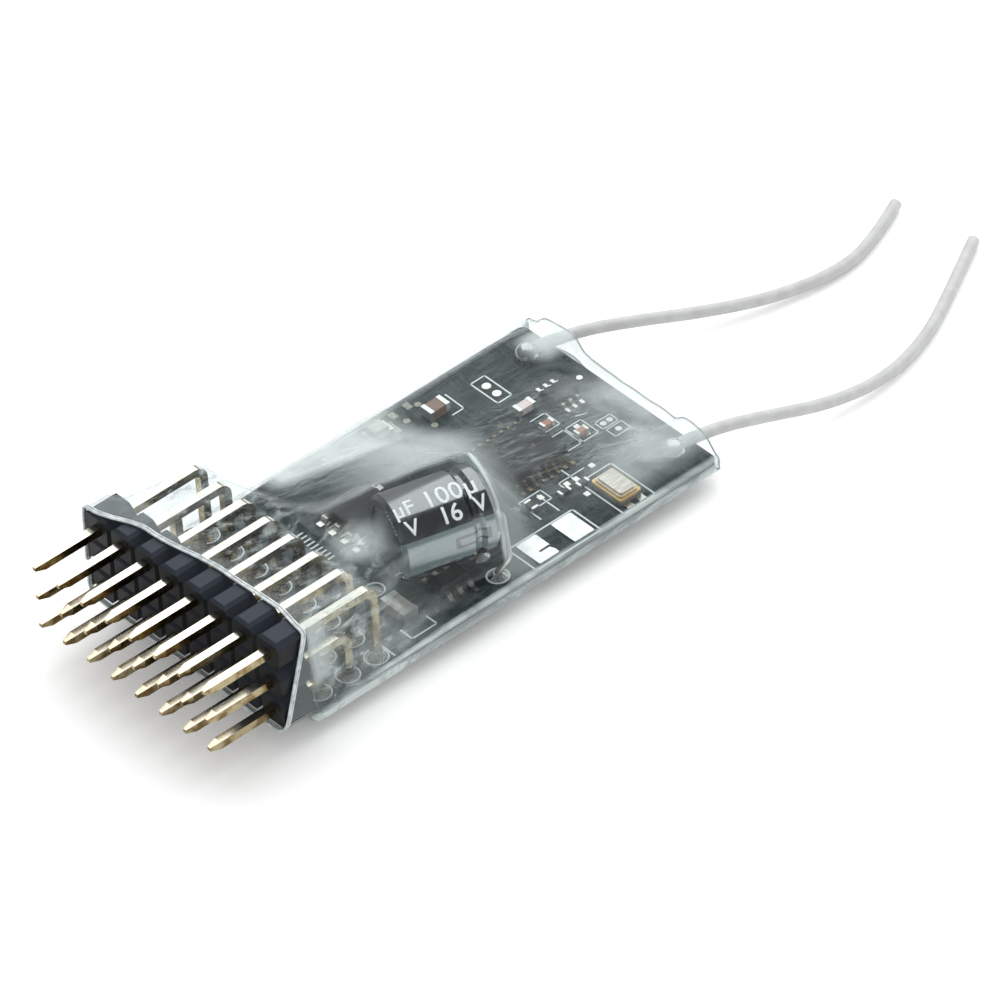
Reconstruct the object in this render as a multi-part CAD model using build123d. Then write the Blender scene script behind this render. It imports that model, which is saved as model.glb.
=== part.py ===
from build123d import *
import math
import os

os.makedirs("parts", exist_ok=True)

# Receiver board in a clear shrink sleeve. X runs across the pin columns, Y runs from the
# pin tips towards the antennas, Z is up from the surface that the sleeve lies on.
# Lengths are millimetres, and distances along Y are counted from the pin tips.

# Pin header, right-angle, on the usual pitch
pin_pitch = 2.54
pin_columns = 8
pin_row_names = ["lower", "middle", "upper"]
pin_side = 0.64
pin_tip_side = 0.3
pin_tip_length = 0.8
pin_reach = 5.6
pin_bend_radius = 0.75
pin_stub = 1.15
pin_fit = 0.02
first_row_height = 1.09
header_depth = 2.54
header_corner = 0.4
notch_shoulder_half = 0.72
notch_throat_half = 0.45
notch_shoulder_depth = 0.22
notch_depth = 0.75
face_groove_width = 0.5
face_groove_depth = 0.3
front_edge_chamfer = 0.22

# Board
board_margin = 0.04
board_length = 36.6
board_thickness = 0.8
board_corner = 0.6
board_gap = 0.06
pad_setback = 1.5
pin_hole_diameter = 1.0
lead_hole_diameter = 0.75
hole_sides = 12

# Solder
solder_fit = 0.02
pad_diameter = 1.5
solder_top_rise = 0.3
solder_under_drop = 0.85

# Clear sleeve
film_wall = 0.2
film_gap = 0.06
film_far_reach = 1.1
film_layer_height = 1.3
film_side_slope = 1.6
film_over_pins = 0.12
film_bend_drop = 0.5
film_sag_reach = 6.7
film_over_can = 0.3
film_past_can = 0.4
film_left_reach = 11.0
film_right_reach = 2.6
film_right_reach_near = 4.5
film_end_height = 0.35
film_end_run = 4.0
film_lump_height = 1.2
film_lump_half = 1.3
film_lump_slope = 1.6

# Capacitor lying on its side
can_outer_diameter = 6.3
can_length = 7.2
can_lean_deg = 16.1
can_lift = 1.15
can_far_x = 6.15
can_far_distance = 27.1
jacket_wall = 0.1
jacket_fit = 0.02
jacket_lip = 0.75
can_edge_bevel = 0.3
can_bead_from_end = 1.5
can_bead_depth = 0.3
can_bead_half = 0.45
can_metal_wall = 0.25
bung_depth = 1.3
lead_diameter = 0.5
lead_spacing = 2.5
lead_run_out = 0.85
lead_bend_radius = 0.45
lead_foot_height = 1.3
lead_knee_height = 0.3
lead_pad_far = (8.54, 26.06)
lead_pad_near = (6.1, 26.5)

# Antennas: bare cut ends, routes as x, distance from the pin tips, height of the centre
antenna_diameter = 0.9
antenna_sides = 12
antenna_blob_radius = 0.95
antenna_blob_height = 1.0
antenna_fillet_share = 0.45

# Main stations along Y and Z
film_under = film_wall + film_gap
stub_end = film_under
board_under = stub_end + pin_stub
board_top = board_under + board_thickness
header_front = pin_reach
header_back = header_front + header_depth
board_near = header_back + board_gap
board_far = board_near + board_length
film_far = board_far + film_far_reach
front_y = -film_far / 2
header_half = pin_columns * pin_pitch / 2
board_width = 2 * (header_half + board_margin)
header_floor = board_top + first_row_height - pin_pitch / 2
header_height = len(pin_row_names) * pin_pitch
header_top = header_floor + header_height


def at(x, distance, z=0.0):
    return Vector(x, front_y + distance, z)


def block(x, distance, z_low, width, depth, height, turn=0.0):
    box = Box(width, depth, height, align=(Align.CENTER, Align.CENTER, Align.MIN))
    return Pos(*at(x, distance, z_low)) * Rot(0, 0, turn) * box


def column_x(column):
    return (column - (pin_columns - 1) / 2) * pin_pitch


def row_height(row):
    return board_top + first_row_height + row * pin_pitch


def pad_distance(row):
    return board_near + pad_setback + row * pin_pitch


def save(shape, name):
    shape.label = name
    export_step(shape, f"parts/{name}.step")


# Header body: a bar with notches between its cells and square holes for the pins
def notch_outline(turn, x, z):
    points = [
        (-notch_shoulder_half, pin_pitch),
        (-notch_shoulder_half, 0),
        (-notch_throat_half, -notch_shoulder_depth),
        (0, -notch_depth),
        (notch_throat_half, -notch_shoulder_depth),
        (notch_shoulder_half, 0),
        (notch_shoulder_half, pin_pitch),
    ]
    face = make_face(Polyline(*points, close=True))
    return Pos(x, z) * Rot(0, 0, turn) * face


def header_body():
    middle = header_floor + header_height / 2
    outline = Rectangle(2 * header_half, header_height)
    outline = chamfer(outline.vertices(), header_corner)
    for gap in range(1, pin_columns):
        x = -header_half + gap * pin_pitch
        outline -= notch_outline(0, x, header_height / 2)
        outline -= notch_outline(180, x, -header_height / 2)
    for gap in range(1, len(pin_row_names)):
        z = -header_height / 2 + gap * pin_pitch
        outline -= notch_outline(90, -header_half, z)
        outline -= notch_outline(-90, header_half, z)
    for column in range(pin_columns):
        for row in range(len(pin_row_names)):
            hole = Rectangle(pin_side + 2 * pin_fit, pin_side + 2 * pin_fit)
            outline -= Pos(column_x(column), row_height(row) - middle) * hole
    # the outline lies in a plane that faces the pin tips
    face_plane = Plane(at(0, header_front, middle), x_dir=(1, 0, 0), z_dir=(0, -1, 0))
    body = extrude(face_plane * outline, -header_depth)
    for gap in range(1, pin_columns):
        x = -header_half + gap * pin_pitch
        body -= face_groove(x, middle, header_height, 0)
    for gap in range(1, len(pin_row_names)):
        z = header_floor + gap * pin_pitch
        body -= face_groove(0, z, 2 * header_half, 90)
    for side in (-1, 1):
        z = middle + side * header_height / 2
        edge = front_edge_chamfer * math.sqrt(2)
        bevel = Box(2 * header_half + 1, edge, edge)
        body -= Pos(*at(0, header_front, z)) * Rot(45, 0, 0) * bevel
    return body


def face_groove(x, z, length, turn):
    points = [(-face_groove_width / 2, 0), (face_groove_width / 2, 0), (0, face_groove_depth)]
    section = make_face(Polyline(*points, close=True))
    plane = Plane(at(x, header_front, z), x_dir=(1, 0, 0), z_dir=(0, 0, 1))
    cutter = extrude(plane * section, length / 2 + 1, both=True)
    return cutter.rotate(Axis(at(x, header_front, z), (0, 1, 0)), turn)


# Pins: one bent square wire for each place in the grid
def pin(row):
    height = row_height(row)
    pad = pad_distance(row)
    start = at(0, pin_tip_length, height)
    path = FilletPolyline(start, at(0, pad, height), at(0, pad, stub_end), radius=pin_bend_radius)
    front = Plane(start, x_dir=(1, 0, 0), z_dir=(0, -1, 0))
    shank = sweep(front * Rectangle(pin_side, pin_side), path=path)
    slope = math.degrees(math.atan((pin_side - pin_tip_side) / 2 / pin_tip_length))
    tip = extrude(front * Rectangle(pin_side, pin_side), pin_tip_length, taper=slope)
    return shank + tip


# A joint fills the plated hole round a pin or lead and rises on both sides of the board
def solder_joint(x, distance, wire, hole_diameter):
    barrel_radius = hole_diameter / 2 - solder_fit
    spread = pad_diameter / 2 - barrel_radius
    barrel = extrude(RegularPolygon(barrel_radius, hole_sides), board_thickness)
    pad = RegularPolygon(pad_diameter / 2, hole_sides)
    top = extrude(pad, solder_top_rise, taper=math.degrees(math.atan(spread / solder_top_rise)))
    lean = math.degrees(math.atan(spread / solder_under_drop))
    under = mirror(extrude(pad, solder_under_drop, taper=lean), Plane.XY)
    joint = Pos(0, 0, board_thickness) * top + barrel + under
    return Pos(*at(x, distance, board_under)) * joint - wire


def circuit_board():
    outline = RectangleRounded(board_width, board_length, board_corner)
    for column in range(pin_columns):
        for row in range(len(pin_row_names)):
            distance = pad_distance(row) - (board_near + board_length / 2)
            outline -= Pos(column_x(column), distance) * RegularPolygon(pin_hole_diameter / 2, hole_sides)
    for x, distance in (lead_pad_far, lead_pad_near):
        distance -= board_near + board_length / 2
        outline -= Pos(x, distance) * RegularPolygon(lead_hole_diameter / 2, hole_sides)
    plane = Plane(at(0, board_near + board_length / 2, board_under))
    return extrude(plane * outline, board_thickness)


# Capacitor: its axis runs level and leans across the board
lean = math.radians(can_lean_deg)
can_axis = Vector(math.sin(lean), math.cos(lean), 0)
can_side = Vector(math.cos(lean), -math.sin(lean), 0)
can_radius = can_outer_diameter / 2 - jacket_wall - jacket_fit
can_axis_height = can_lift + can_outer_diameter / 2
bung_radius = can_radius - can_bead_depth - can_metal_wall
can_far_end = at(can_far_x, can_far_distance, board_top + can_axis_height)
can_near_end = can_far_end - can_axis * can_length
can_plane = Plane(can_near_end, x_dir=can_side, z_dir=can_axis)


def can_outline(radius, skin, edge):
    # half section in radius and length, from the closed end to the beaded open end
    high = can_length - jacket_wall - jacket_fit + skin
    low = jacket_wall + jacket_fit - skin
    bead = can_length - can_bead_from_end
    points = [
        (0, low),
        (radius - edge, low),
        (radius, low + edge),
        (radius, bead - can_bead_half),
        (radius - can_bead_depth, bead - can_bead_half / 3),
        (radius - can_bead_depth, bead + can_bead_half / 3),
        (radius, bead + can_bead_half),
        (radius, high - edge),
        (radius - edge, high),
        (0, high),
    ]
    return make_face(Polyline(*points, close=True))


def revolved(face):
    # the half section turns about its own Y axis, which becomes the can's axis
    turned = revolve(face, Axis.Y)
    return can_plane * Rot(90, 0, 0) * turned


def capacitor_can():
    can = revolved(can_outline(can_radius, 0, can_edge_bevel))
    seat = Cylinder(bung_radius + jacket_fit, 2 * bung_depth)
    return can - can_plane * Pos(0, 0, can_length - jacket_wall - jacket_fit) * seat


def capacitor_jacket():
    skin = jacket_fit + jacket_wall
    outer = revolved(can_outline(can_radius + skin, skin, can_edge_bevel))
    inner = revolved(can_outline(can_radius + jacket_fit, jacket_fit, can_edge_bevel))
    opening = Cylinder(can_outer_diameter / 2 - jacket_lip, can_length * 3)
    return outer - inner - can_plane * opening


def lead_route(side, pad):
    exit_point = can_far_end + can_side * (side * lead_spacing / 2)
    inside = exit_point - can_axis * (bung_depth * 0.8)
    outside = exit_point + can_axis * lead_run_out
    pad_top = at(pad[0], pad[1], board_top + lead_knee_height)
    # the wire drops clear of the jacket's end before it steps in to its pad
    step = (exit_point - pad_top).dot(can_axis) + lead_diameter + jacket_wall
    foot = pad_top + can_axis * step
    foot = Vector(foot.X, foot.Y, board_top + lead_foot_height)
    end = at(pad[0], pad[1], stub_end)
    return FilletPolyline(inside, outside, foot, pad_top, end, radius=lead_bend_radius)


def capacitor_lead(side, pad):
    route = lead_route(side, pad)
    start = route @ 0
    section = Plane(start, z_dir=can_axis) * RegularPolygon(lead_diameter / 2, 8)
    return sweep(section, path=route)


def capacitor_bung():
    height = bung_depth - jacket_fit
    bung = Cylinder(bung_radius, height, align=(Align.CENTER, Align.CENTER, Align.MAX))
    bung = can_plane * Pos(0, 0, can_length - jacket_wall - jacket_fit) * bung
    for side in (-1, 1):
        hole = Cylinder(lead_diameter / 2 + jacket_fit, can_length)
        bung -= can_plane * Pos(side * lead_spacing / 2, 0, can_length) * hole
    return bung


# Chips with bent leads on two sides; the leads leave along the chip's own X
def gull_chip(x, distance, width, length, height, lead_count, lead_pitch, turn):
    standoff = 0.08
    body = block(0, 0, 0, width, length, height - standoff)
    body = chamfer(body.edges().group_by(Axis.Z)[-1], 0.12)
    body = Pos(*(-at(0, 0))) * body
    thick = 0.14
    reach = 0.95
    rise = height * 0.5
    half = width / 2
    points = [
        (half, rise),
        (half + reach * 0.35, rise),
        (half + reach * 0.55, thick),
        (half + reach, thick),
        (half + reach, 0),
        (half + reach * 0.4, 0),
        (half + reach * 0.2, rise - thick),
        (half, rise - thick),
    ]
    profile = make_face(Polyline(*points, close=True))
    lead = extrude(Plane.XZ * profile, lead_pitch * 0.2, both=True)
    place = Pos(*at(x, distance, board_top)) * Rot(0, 0, turn)
    leads = []
    for index in range(lead_count):
        y = (index - (lead_count - 1) / 2) * lead_pitch
        for side in (0, 180):
            leads.append(place * Pos(0, y, 0) * Rot(0, 0, side) * lead)
    return place * Pos(0, 0, standoff) * body, Compound(children=leads)


# Chip capacitors and resistors: a block with wrapped metal ends along its own Y
def chip_part(x, distance, width, length, height, turn=0.0, end_share=0.22):
    wrap = 0.03
    size = (width - 2 * wrap, length * 0.9, height - wrap)
    body = Box(*size, align=(Align.CENTER, Align.CENTER, Align.MIN))
    part = body
    for side in (-1, 1):
        cap = Box(width, length * end_share, height, align=(Align.CENTER, Align.CENTER, Align.MIN))
        part += Pos(0, side * length * (1 - end_share) / 2, 0) * cap
    return Pos(*at(x, distance, board_top)) * Rot(0, 0, turn) * part


def lamp(x, distance, width, length, height):
    base = Box(width, length, height * 0.4, align=(Align.CENTER, Align.CENTER, Align.MIN))
    lens = Box(width * 0.92, length * 0.62, height * 0.6, align=(Align.CENTER, Align.CENTER, Align.MIN))
    lens = fillet(lens.edges().group_by(Axis.Z)[-1], height * 0.2)
    return Pos(*at(x, distance, board_top)) * (base + Pos(0, 0, height * 0.4) * lens)


def dome(x, distance, radius, height):
    ball_radius = (radius * radius + height * height) / (2 * height)
    ball = Pos(0, 0, height - ball_radius) * Sphere(ball_radius)
    keep = Box(4 * radius, 4 * radius, 2 * height, align=(Align.CENTER, Align.CENTER, Align.MIN))
    return Pos(*at(x, distance, board_top)) * (ball & keep)


# Parts beyond the capacitor keep their share of that stretch of the board
def beyond_can(share):
    return can_far_distance + share * (board_far - can_far_distance)


# Crystal: a ceramic tray and a flanged lid
crystal_place = (7.65, beyond_can(0.599))
crystal_width = 3.1
crystal_length = 1.95
crystal_base_height = 0.5
crystal_lid_height = 0.3
crystal_lid_inset = 0.16


def crystal_base():
    outline = RectangleRounded(crystal_width, crystal_length, 0.2)
    return Pos(*at(*crystal_place, board_top)) * extrude(outline, crystal_base_height)


def crystal_lid():
    inset = 2 * crystal_lid_inset
    outline = RectangleRounded(crystal_width - inset, crystal_length - inset, 0.25)
    flange = extrude(outline, crystal_lid_height / 2)
    outline = RectangleRounded(crystal_width - 2 * inset, crystal_length - 2 * inset, 0.2)
    crown = extrude(outline, crystal_lid_height)
    return Pos(*at(*crystal_place, board_top + crystal_base_height)) * (flange + crown)


# Two tinned pads of the jumper
jumper_pad_x = 8.45
jumper_pad_distances = (beyond_can(0.15), beyond_can(0.3305))
jumper_pad_width = 2.55
jumper_pad_length = 1.8
jumper_pad_thickness = 0.08


def jumper_pads():
    pads = []
    for distance in jumper_pad_distances:
        outline = RectangleRounded(jumper_pad_width, jumper_pad_length, 0.12)
        pad = extrude(outline, jumper_pad_thickness)
        pads.append(Pos(*at(jumper_pad_x, distance, board_top)) * pad)
    return Compound(children=pads)


# Antennas
# each point: x, distance beyond the board's far edge, height of the wire's centre
antenna_left_route = [
    (-7.35, -1.5, 2.7),
    (-6.7, 1.6, 2.68),
    (-5.0, 5.8, 2.15),
    (-3.2, 10.1, 1.35),
    (-1.35, 15.1, 0.7),
    (-0.3, 20.1, 0.5),
    (-0.75, 24.2, 0.46),
    (-2.9, 28.6, 0.46),
]
antenna_right_route = [
    (7.55, -1.2, 2.7),
    (7.95, 1.5, 2.68),
    (9.1, 5.4, 2.1),
    (10.5, 10.1, 1.2),
    (10.75, 15.2, 0.6),
    (9.4, 20.2, 0.46),
    (6.9, 24.8, 0.46),
    (4.0, 29.7, 0.46),
]


def far_point(x, beyond, z):
    return at(x, board_far + beyond, z)


def corner_radii(points):
    radii = []
    for before, corner, after in zip(points, points[1:], points[2:]):
        first = corner - before
        second = after - corner
        turn = math.radians(first.get_angle(second))
        shorter = min(first.length, second.length)
        radii.append(antenna_fillet_share * shorter / math.tan(turn / 2))
    return radii


def antenna(name, route):
    points = [far_point(*place) for place in route]
    radii = corner_radii(points)
    path = FilletPolyline(*points, radius=radii)
    section = RegularPolygon(antenna_diameter / 2, antenna_sides)
    tube = sweep(Plane(points[0], z_dir=points[1] - points[0]) * section, path=path)
    print(name, "length", round(path.length, 2), "radii", [round(r, 1) for r in radii])
    ideal = path.length * section.area
    print(name, "volume", round(tube.volume, 3), "section times length", round(ideal, 3))
    return tube


def antenna_solder(route):
    start = far_point(*route[0])
    ahead = (far_point(*route[1]) - start).normalized()
    flat = Vector(ahead.X, ahead.Y, 0).normalized()
    centre = start - flat * (antenna_blob_radius * 0.55)
    blob = dome(centre.X, centre.Y - front_y, antenna_blob_radius, antenna_blob_height)
    beyond = Plane(start, z_dir=ahead) * Box(6, 6, 6, align=(Align.CENTER, Align.CENTER, Align.MIN))
    return blob - beyond


# Sleeve: the film hangs like a tent from whatever stands up under it
edge_x = max(board_width, 2 * header_half) / 2 + film_gap
pin_edge_x = column_x(pin_columns - 1) + pin_side / 2 + film_gap
last_row = len(pin_row_names) - 1
pin_crest = pad_distance(last_row) - pin_bend_radius
pin_back = pad_distance(last_row) + pin_side / 2 + film_gap


def sag(share):
    return max(0.0, share) ** 1.7


def film_rise(x, distance):
    # height of the film's inner face above the board's top face
    header = header_top - board_top + film_gap
    pins = row_height(last_row) + pin_side / 2 - board_top + film_over_pins
    beside_pins = 1 - max(0.0, abs(x) - pin_edge_x) / (edge_x - pin_edge_x)
    if distance <= header_back + film_gap:
        return header
    if distance <= pin_crest:
        share = (distance - header_back) / (pin_crest - header_back)
        return max((header + (pins - header) * share) * beside_pins, 0.0)
    if distance <= pin_back:
        share = (distance - pin_crest) / (pin_back - pin_crest)
        return max((pins - film_bend_drop * share) * beside_pins, 0.0)
    behind_pins = (pins - film_bend_drop) * sag(1 - (distance - pin_back) / film_sag_reach)
    tent = can_tent(x, distance, pins, behind_pins)
    return max(behind_pins * beside_pins, tent, layer(x, distance))


def layer(x, distance):
    # the thin space over the small parts, closed down to the board at its edges
    slope = max(0.0, abs(x) - (edge_x - film_side_slope)) / film_side_slope
    level = film_layer_height * (1 - 0.9 * slope)
    # at the far end the film lies down on the board, except over the two antennas
    down = min(1.0, max(0.0, (distance - board_far + film_end_run) / film_end_run))
    end_level = min(level, max(film_end_height, antenna_lump(x)))
    return level + (end_level - level) * down


def antenna_lump(x):
    lumps = []
    for route in (antenna_left_route, antenna_right_route):
        middle = (route[0][0] + route[1][0]) / 2
        slope = max(0.0, abs(x - middle) - film_lump_half) / film_lump_slope
        lumps.append(film_lump_height * (1 - slope))
    return max(lumps)


def can_tent(x, distance, pins, behind_pins):
    point = at(x, distance, can_far_end.Z) - can_far_end
    along = point.dot(can_axis)
    aside = point.dot(can_side)
    radius = can_outer_diameter / 2 + film_over_can
    shoulder = radius * 0.85
    crest = can_axis_height + math.sqrt(radius**2 - min(abs(aside), shoulder) ** 2)
    back = min(1.0, max(0.0, -along - 2) / (can_length - 2))
    right_reach = film_right_reach + (film_right_reach_near - film_right_reach) * back
    reach = film_left_reach if aside < 0 else right_reach
    lateral = sag(1 - max(0.0, abs(aside) - shoulder) / reach)
    ahead = max(0.0, along - film_past_can)
    behind = min(1.0, max(0.0, -along - can_length) / 5)
    span = behind_pins + (pins - behind_pins) * lateral
    edge_share = min(1.0, (edge_x - abs(x)) / (edge_x - pin_edge_x) + 0.05)
    return (crest * lateral * (1 - behind) + span * behind) * sag(1 - ahead / 5) * edge_share


def film_floor(distance):
    # height of the film's inner face under the board, above the resting surface
    board_face = board_under - film_gap
    last_stub = lead_pad_near[1] + pad_diameter
    if distance <= header_back:
        return header_floor - film_gap
    if distance <= board_near:
        return board_face
    if distance <= last_stub:
        return film_wall
    return min(board_face, film_wall + (distance - last_stub) * 0.17)


film_columns = [pin_edge_x * share for share in (0, 0.17, 0.32, 0.45, 0.57, 0.69, 0.8, 0.9, 1)]
film_columns += [(pin_edge_x + edge_x) / 2, edge_x]
film_stations = [
    header_front - 1.2,
    header_back + film_gap,
    pad_distance(0) - pad_diameter / 2,
    pin_crest,
    pin_back,
    17.2,
    19.4,
    21.8,
    24.3,
    26.6,
    27.6,
    28.6,
    30.2,
    32.6,
    board_far - film_end_run,
    board_far,
    film_far + 1.0,
]


def film_section(distance, grow):
    floor_face = film_floor(distance)
    columns = [-x for x in reversed(film_columns[1:])] + film_columns
    points = [(x, board_top + film_rise(x, distance)) for x in columns]
    side_foot = max(floor_face, board_under - film_gap)
    pinch = edge_x - 0.2 - 0.5 * (side_foot - floor_face)
    points.append((edge_x, side_foot))
    points += [(pinch, floor_face), (0, floor_face), (-pinch, floor_face)]
    points.append((-edge_x, side_foot))
    return offset_points(points, grow)


def offset_points(points, grow):
    # each corner moves outwards by the wall, measured square to its two sides
    moved = []
    for index, here in enumerate(points):
        before = Vector(*points[index - 1])
        after = Vector(*points[(index + 1) % len(points)])
        side_in = (Vector(*here) - before).normalized()
        side_out = (after - Vector(*here)).normalized()
        normal_in = Vector(-side_in.Y, side_in.X)
        bisector = (normal_in + Vector(-side_out.Y, side_out.X)).normalized()
        spot = Vector(*here) + bisector * (grow / max(0.6, bisector.dot(normal_in)))
        moved.append((spot.X, spot.Y))
    return moved


def film_solid(grow, overrun):
    sections = []
    for distance in film_stations:
        shift = 0.0
        if distance == film_stations[0]:
            shift = -overrun
        if distance == film_stations[-1]:
            shift = overrun
        plane = Plane(at(0, distance + shift), x_dir=(1, 0, 0), z_dir=(0, -1, 0))
        sections.append(plane * make_face(Polyline(*film_section(distance, grow), close=True)))
    return loft(sections, ruled=True)


# the front rim stands level with the pins' side at the bottom and runs back at the top:
# share of the half width, and how far back the rim stands there on the header's top
mouth_rim = [(-1.3, 0.1), (-0.95, 0.25), (-0.5, 1.6), (0.2, 2.5), (0.7, 2.7), (1.0, 2.3), (1.3, 2.0)]
# the far rim is a wavy cut: share of the half width, and how far short of the longest point
far_rim = [(-1.3, 0.6), (-0.95, 0.45), (-0.6, 0.05), (-0.3, 0.4), (0.0, 0.5)]
far_rim += [(0.35, 0.42), (0.7, 0.6), (1.0, 1.0), (1.3, 1.3)]
mouth_low = header_front - 0.25


def mouth_cutter():
    faces = []
    for z, share in ((header_floor, 0.0), (header_top, 1.0), (header_top + 2, 1.1)):
        front = [at(1.3 * header_half, header_front - 9, z), at(-1.3 * header_half, header_front - 9, z)]
        rim = [at(part * header_half, mouth_low + back * share, z) for part, back in mouth_rim]
        faces.append(make_face(Polyline(*front, *rim, close=True)))
    block_under = block(0, (mouth_low + header_front - 9) / 2, -1, 30, 9 - 0.25, header_floor + 1)
    return loft(faces, ruled=True) + block_under


def far_cutter():
    points = [at(part * header_half, film_far - short, -1) for part, short in far_rim]
    corners = [points[-1], points[-1] + Vector(0, 6, 0), points[0] + Vector(0, 6, 0), points[0]]
    face = make_face([Spline(*points), *Polyline(*corners).edges()])
    return extrude(face, header_top + 5)


def shrink_sleeve():
    sleeve = film_solid(film_wall, 0.0) - film_solid(0.0, 0.5)
    return sleeve - mouth_cutter() - far_cutter()


# Write every piece
save(header_body(), "header_body")
pins = {}
for row, row_name in enumerate(pin_row_names):
    shape = pin(row)
    for column in range(pin_columns):
        pins[row, column] = Pos(column_x(column), 0, 0) * shape
        save(pins[row, column], f"pin_{row_name}_{column + 1}")

joints = []
for (row, column), shape in pins.items():
    joints.append(solder_joint(column_x(column), pad_distance(row), shape, pin_hole_diameter))
save(Compound(children=joints), "header_solder")

save(circuit_board(), "circuit_board")

save(capacitor_can(), "capacitor_can")
save(capacitor_jacket(), "capacitor_jacket")
save(capacitor_bung(), "capacitor_bung")
lead_far = capacitor_lead(1, lead_pad_far)
lead_near = capacitor_lead(-1, lead_pad_near)
save(lead_far, "capacitor_lead_right")
save(lead_near, "capacitor_lead_left")
lead_joints = [
    solder_joint(*lead_pad_far, lead_far, lead_hole_diameter),
    solder_joint(*lead_pad_near, lead_near, lead_hole_diameter),
]
save(Compound(children=lead_joints), "capacitor_solder")

save(crystal_base(), "crystal_base")
save(crystal_lid(), "crystal_lid")
save(jumper_pads(), "jumper_pads")

radio_body, radio_leads = gull_chip(0.5, 35.1, 4.4, 5.0, 1.05, 8, 0.65, 0)
save(radio_body, "radio_chip")
save(radio_leads, "radio_chip_leads")
control_body, control_leads = gull_chip(-2.2, 23.6, 3.9, 4.9, 1.0, 4, 1.27, 90)
save(control_body, "control_chip")
save(control_leads, "control_chip_leads")
amplifier_body, amplifier_leads = gull_chip(-2.5, 41.5, 1.6, 2.2, 0.8, 3, 0.65, 0)
save(amplifier_body, "amplifier_chip")
save(amplifier_leads, "amplifier_chip_leads")
regulator_body, regulator_leads = gull_chip(6.9, 23.1, 1.5, 2.6, 0.9, 3, 0.95, 0)
save(regulator_body, "regulator")
save(regulator_leads, "regulator_leads")

save(chip_part(-7.4, 34.3, 1.15, 1.75, 0.8), "chip_capacitor_left")
save(chip_part(6.6, 18.85, 1.3, 2.5, 0.9, 90), "chip_capacitor_supply")
save(chip_part(-0.8, 38.75, 0.55, 1.0, 0.45), "chip_capacitor_small_1")
save(chip_part(1.5, 39.9, 0.55, 1.0, 0.45), "chip_capacitor_small_2")
save(chip_part(-3.2, 38.8, 0.8, 1.5, 0.6), "pink_chip_part")
save(chip_part(5.4, beyond_can(0.441), 0.5, 0.95, 0.35), "chip_resistor_1")
save(chip_part(5.6, beyond_can(0.526), 0.5, 0.95, 0.35), "chip_resistor_2")
save(chip_part(4.9, beyond_can(0.294), 0.55, 1.0, 0.4, 90), "chip_resistor_3")
save(lamp(-8.6, 30.0, 1.2, 2.0, 0.75), "indicator_lamp")

save(antenna_solder(antenna_left_route), "antenna_solder_left")
save(antenna_solder(antenna_right_route), "antenna_solder_right")
save(antenna("antenna_left", antenna_left_route), "antenna_left")
save(antenna("antenna_right", antenna_right_route), "antenna_right")

save(shrink_sleeve(), "shrink_sleeve")
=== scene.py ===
import math
from collections import namedtuple

import bpy
from mathutils import Matrix, Vector, noise

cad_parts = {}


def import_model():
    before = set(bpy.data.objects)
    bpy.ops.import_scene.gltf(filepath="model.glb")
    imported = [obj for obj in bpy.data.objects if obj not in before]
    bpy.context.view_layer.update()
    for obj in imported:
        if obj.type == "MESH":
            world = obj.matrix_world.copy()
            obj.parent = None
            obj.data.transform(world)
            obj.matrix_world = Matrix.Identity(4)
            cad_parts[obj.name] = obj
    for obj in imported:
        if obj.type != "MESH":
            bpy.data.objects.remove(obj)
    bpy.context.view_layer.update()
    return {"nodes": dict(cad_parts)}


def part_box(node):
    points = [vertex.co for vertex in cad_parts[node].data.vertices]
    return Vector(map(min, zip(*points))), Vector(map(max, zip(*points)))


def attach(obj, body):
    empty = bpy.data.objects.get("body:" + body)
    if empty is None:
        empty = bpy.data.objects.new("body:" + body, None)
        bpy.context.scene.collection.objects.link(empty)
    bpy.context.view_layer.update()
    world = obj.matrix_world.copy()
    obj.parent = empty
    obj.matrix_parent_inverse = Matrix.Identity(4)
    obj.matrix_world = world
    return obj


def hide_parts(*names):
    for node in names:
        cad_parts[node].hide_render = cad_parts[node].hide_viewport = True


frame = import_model()

# Lengths in this script are millimetres in the model's own frame, turned to metres by MM.
MM = 0.001


def low(node):
    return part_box(node)[0] / MM


def high(node):
    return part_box(node)[1] / MM


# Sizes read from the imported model
front_y = low("pin_upper_1").y
board_low = low("circuit_board")
board_high = high("circuit_board")
board_top = board_high.z
header_low = low("header_body")
header_high = high("header_body")
sleeve_low = low("shrink_sleeve")
sleeve_high = high("shrink_sleeve")
pin_pitch = low("pin_upper_2").x - low("pin_upper_1").x
pin_half = high("pin_upper_8").x
pin_side = high("pin_upper_8").x - low("pin_upper_8").x
pin_top = high("pin_upper_8").z
pin_back = high("pin_upper_8").y

# The capacitor lies on its side: its axis is level and leans across the board
can_lean = math.radians(16.1)
can_length = 7.2
can_radius = 3.15
can_axis = Vector((math.sin(can_lean), math.cos(can_lean), 0))
can_side = Vector((math.cos(can_lean), -math.sin(can_lean), 0))
can_centre = (low("capacitor_jacket") + high("capacitor_jacket")) / 2
can_far_end = can_centre + can_axis * (can_length / 2)

# The jacket's print: angles are in degrees from straight up, towards the capacitor's side
stripe_angle = 89.0
stripe_half_angle = 26.5
minus_angle = stripe_angle - 4
minus_along = 1.55
# high indices of refraction give the print and its varnish their strong shine
print_ior = 2.6
varnish_ior = 2.4

# The camera stands where the photograph was taken from, far off behind a long lens.
# Its place along the board is given from the pin tips.
camera_place = Vector((493.68, front_y - 353.27, 541.01))
camera_right = Vector((0.6579, 0.7504, -0.0638))
camera_up = Vector((-0.4608, 0.4681, 0.754))
camera_back = Vector((0.5957, -0.4667, 0.6537))
camera_lens = 432.0
camera_sensor = 36.0


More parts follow.
